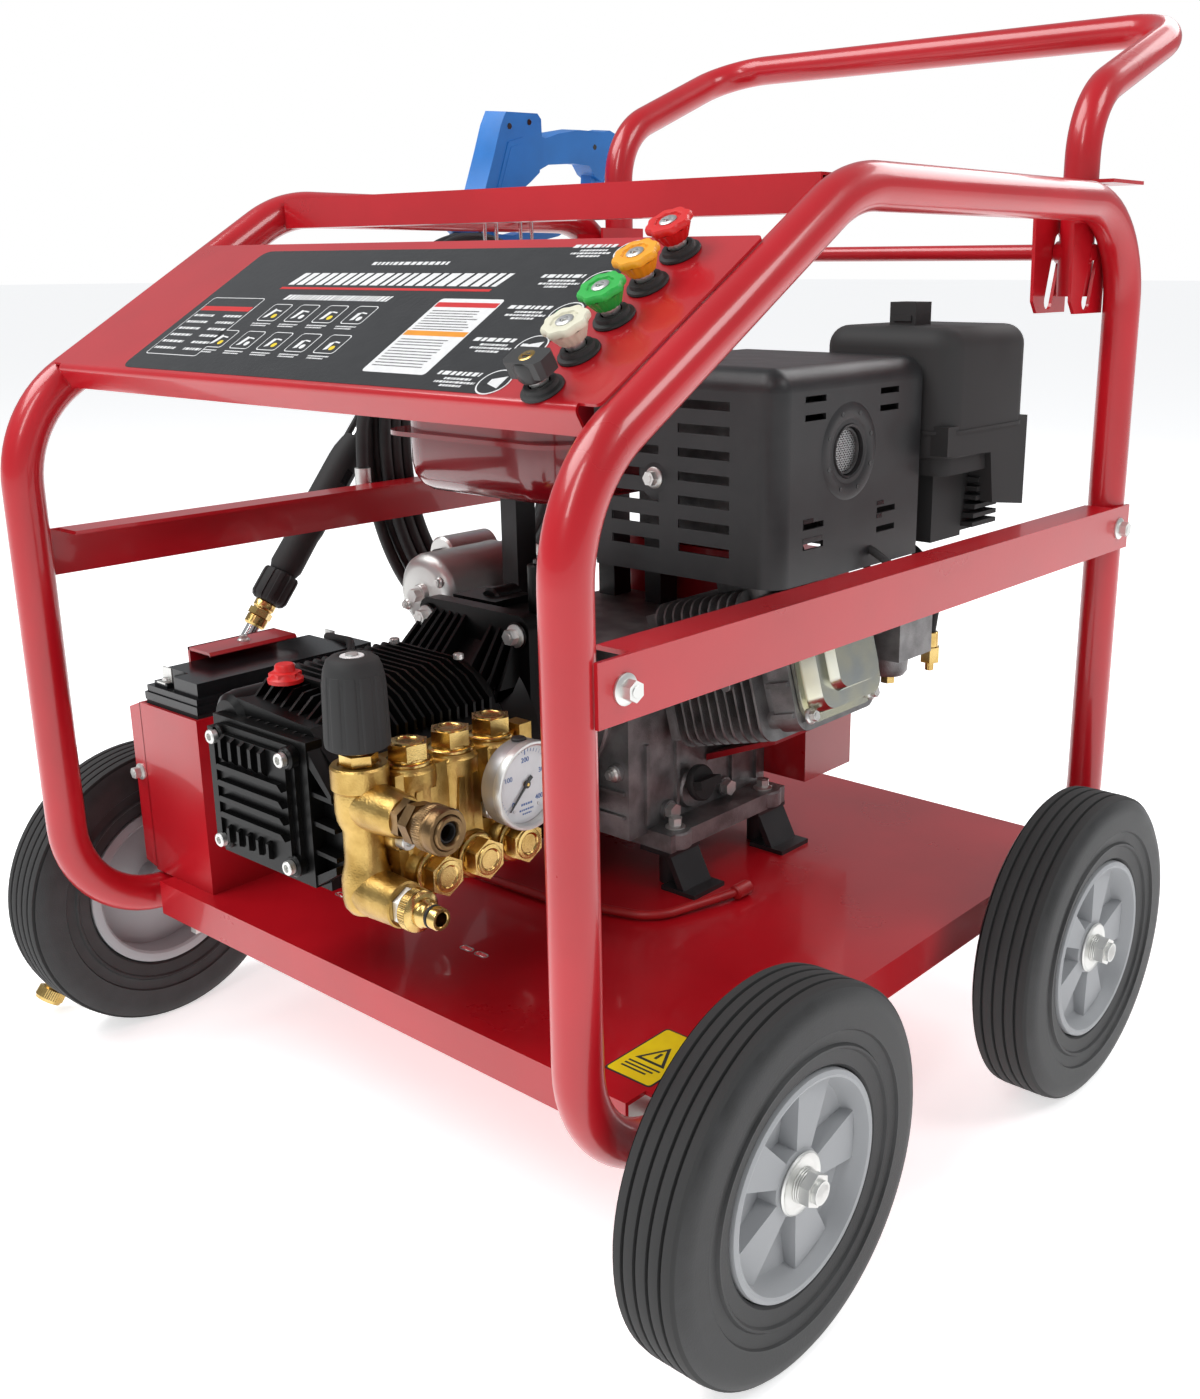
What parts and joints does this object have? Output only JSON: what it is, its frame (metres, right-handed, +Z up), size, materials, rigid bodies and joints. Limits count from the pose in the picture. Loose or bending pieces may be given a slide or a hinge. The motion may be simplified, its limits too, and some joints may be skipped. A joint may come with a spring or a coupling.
{
  "type": "pressure washer",
  "caption": "Petrol pressure washer in a red tube frame on four wheels: engine, brass-headed pump, sloping nozzle panel, fold-down handle, hung hose and spray lance.",
  "frame": {"origin": "on the floor, under the middle of the whole machine's box, without the hose", "axes": "+Z up, +X to the side with the pump's hose fittings, -Y to the front with the sloping panel"},
  "size_m": [0.8604, 0.9104, 0.927],
  "materials": {
    "frame_red": "gloss powder coat",
    "handle_red": "gloss powder coat",
    "box_red": "gloss powder coat",
    "tank_red": "gloss paint",
    "shroud_red": "gloss paint",
    "bracket_red": "gloss powder coat",
    "rubber_black": "matte",
    "zinc": "bright zinc plate",
    "chrome": "polished",
    "tread": "matte, worn tread",
    "hub_grey": "satin grey",
    "battery_black": "satin",
    "cable": "red and black sleeving",
    "aluminium": "as cast",
    "cast_black": "black painted casting",
    "black_paint": "satin black",
    "black_plastic": "fine grain",
    "knob_black": "satin",
    "brass": "satin cast brass",
    "steel": "machined",
    "iron": "machined",
    "gun_blue": "satin",
    "cap_black": "satin",
    "cap_cream": "satin",
    "cap_green": "satin",
    "cap_amber": "satin",
    "cap_red": "satin"
  },
  "bodies": {
    "frame": {"left_hoop": "frame_red", "right_hoop": "frame_red", "deck": "frame_red", "frame_bars": "frame_red", "control_panel": "frame_red", "panel_grommets": "rubber_black", "handle_brackets": "bracket_red", "hanger_hooks": "chrome", "axles": "zinc", "fasteners": "zinc", "battery_box": "box_red", "battery": "battery_black", "battery_cables": "cable", "engine_mounts": "black_paint", "crankcase": "aluminium", "cylinder": "aluminium", "valve_cover": "zinc", "fan_shrouds": "shroud_red", "fuel_tank": "tank_red", "muffler": "steel", "muffler_shield": "black_paint", "air_cleaner": "black_plastic", "carburettor": "aluminium", "starter_motor": "zinc", "bell_housing": "cast_black", "pump_crankcase": "cast_black", "pump_head": "brass", "valve_caps": "brass", "pressure_gauge": "zinc", "outlet_coupler": "brass", "inlet_spigot": "brass", "hose_coil": "rubber_black", "hose_ends": "zinc"},
    "handle_rod": {"handle_rod": "handle_red"},
    "push_handle": {"push_handle": "handle_red"},
    "unloader_knob": {"unloader_knob": "knob_black"},
    "coupler_sleeve": {"coupler_sleeve": "brass"},
    "gauge_needle": {"gauge_needle": "black_plastic"},
    "gun": {"gun_body": "gun_blue", "lance": "black_plastic"},
    "gun_trigger": {"gun_trigger": "gun_blue"},
    "tank_cap": {"tank_cap": "black_plastic"},
    "oil_cap": {"oil_cap": "black_plastic"},
    "recoil_handle": {"recoil_handle": "black_plastic"},
    "crank": {"crankshaft": "steel", "flywheel": "iron"},
    "piston": {"piston": "aluminium"},
    "wheel_front_left": {"tyre_front_left": "tread", "hub_front_left": "hub_grey"},
    "wheel_rear_left": {"tyre_rear_left": "tread", "hub_rear_left": "hub_grey"},
    "wheel_front_right": {"tyre_front_right": "tread", "hub_front_right": "hub_grey"},
    "wheel_rear_right": {"tyre_rear_right": "tread", "hub_rear_right": "hub_grey"},
    "nozzle_black": {"nozzle_black": "cap_black"},
    "nozzle_white": {"nozzle_white": "cap_cream"},
    "nozzle_green": {"nozzle_green": "cap_green"},
    "nozzle_yellow": {"nozzle_yellow": "cap_amber"},
    "nozzle_red": {"nozzle_red": "cap_red"}
  },
  "joints": [
    {"name": "wheel_front_left_spin", "type": "hinge", "parent": "frame", "child": "wheel_front_left", "pos_m": [-0.34876, -0.32175, 0.1335], "axis": [1, 0, 0], "continuous": true},
    {"name": "wheel_rear_left_spin", "type": "hinge", "parent": "frame", "child": "wheel_rear_left", "pos_m": [-0.34876, 0.11225, 0.1335], "axis": [1, 0, 0], "continuous": true},
    {"name": "wheel_front_right_spin", "type": "hinge", "parent": "frame", "child": "wheel_front_right", "pos_m": [0.39324, -0.32175, 0.1335], "axis": [1, 0, 0], "continuous": true},
    {"name": "wheel_rear_right_spin", "type": "hinge", "parent": "frame", "child": "wheel_rear_right", "pos_m": [0.39324, 0.11225, 0.1335], "axis": [1, 0, 0], "continuous": true},
    {"name": "handle_slide", "type": "slide", "parent": "frame", "child": "handle_rod", "axis": [0, 0.2696, 0.963], "range_m": [-0.042, 0.009]},
    {"name": "handle_fold", "type": "hinge", "parent": "handle_rod", "child": "push_handle", "pos_m": [0.02224, 0.24125, 0.709], "axis": [1, 0, 0], "range_deg": [0, 100]},
    {"name": "nozzle_black_pull", "type": "slide", "parent": "frame", "child": "nozzle_black", "axis": [0, -0.5221, 0.8529], "range_m": [0, 0.05]},
    {"name": "nozzle_white_pull", "type": "slide", "parent": "frame", "child": "nozzle_white", "axis": [0, -0.5221, 0.8529], "range_m": [0, 0.05]},
    {"name": "nozzle_green_pull", "type": "slide", "parent": "frame", "child": "nozzle_green", "axis": [0, -0.5221, 0.8529], "range_m": [0, 0.05]},
    {"name": "nozzle_yellow_pull", "type": "slide", "parent": "frame", "child": "nozzle_yellow", "axis": [0, -0.5221, 0.8529], "range_m": [0, 0.05]},
    {"name": "nozzle_red_pull", "type": "slide", "parent": "frame", "child": "nozzle_red", "axis": [0, -0.5221, 0.8529], "range_m": [0, 0.05]},
    {"name": "unloader_turn", "type": "hinge", "parent": "frame", "child": "unloader_knob", "pos_m": [0.10224, -0.41075, 0.4], "axis": [0, 0, 1], "range_deg": [-720, 720]},
    {"name": "coupler_release", "type": "slide", "parent": "frame", "child": "coupler_sleeve", "axis": [-1, 0, 0], "range_m": [0, 0.005], "stiffness_N_per_m": 2000, "springref_m": -0.002},
    {"name": "needle_turn", "type": "hinge", "parent": "frame", "child": "gauge_needle", "pos_m": [0.15574, -0.30575, 0.341], "axis": [-1, 0, 0], "range_deg": [0, 270], "stiffness_Nm_per_rad": 0.002},
    {"name": "gun_lift", "type": "slide", "parent": "frame", "child": "gun", "axis": [-1, 0, 0], "range_m": [0, 0.12]},
    {"name": "trigger_pull", "type": "hinge", "parent": "gun", "child": "gun_trigger", "pos_m": [-0.35335, 0.18889, 0.77099], "axis": [0.9964, 0, -0.0847], "range_deg": [0, 14], "stiffness_Nm_per_rad": 1.5, "springref_deg": -2.86},
    {"name": "tank_cap_turn", "type": "hinge", "parent": "frame", "child": "tank_cap", "pos_m": [-0.07926, 0.04525, 0.655], "axis": [0, 0, 1], "range_deg": [0, 90]},
    {"name": "oil_cap_turn", "type": "hinge", "parent": "frame", "child": "oil_cap", "pos_m": [0.07224, -0.03275, 0.2457], "axis": [0.9701, 0, 0.2425], "range_deg": [-360, 360]},
    {"name": "recoil_pull", "type": "slide", "parent": "frame", "child": "recoil_handle", "axis": [0, 1, 0], "range_m": [0, 0.06], "stiffness_N_per_m": 300, "springref_m": -0.01},
    {"name": "crank_turn", "type": "hinge", "parent": "frame", "child": "crank", "pos_m": [-0.00776, -0.01475, 0.33], "axis": [0, 1, 0], "continuous": true},
    {"name": "piston_travel", "type": "slide", "parent": "frame", "child": "piston", "axis": [-0.9659, 0, -0.2588], "range_m": [0, 0.05]}
  ]
}
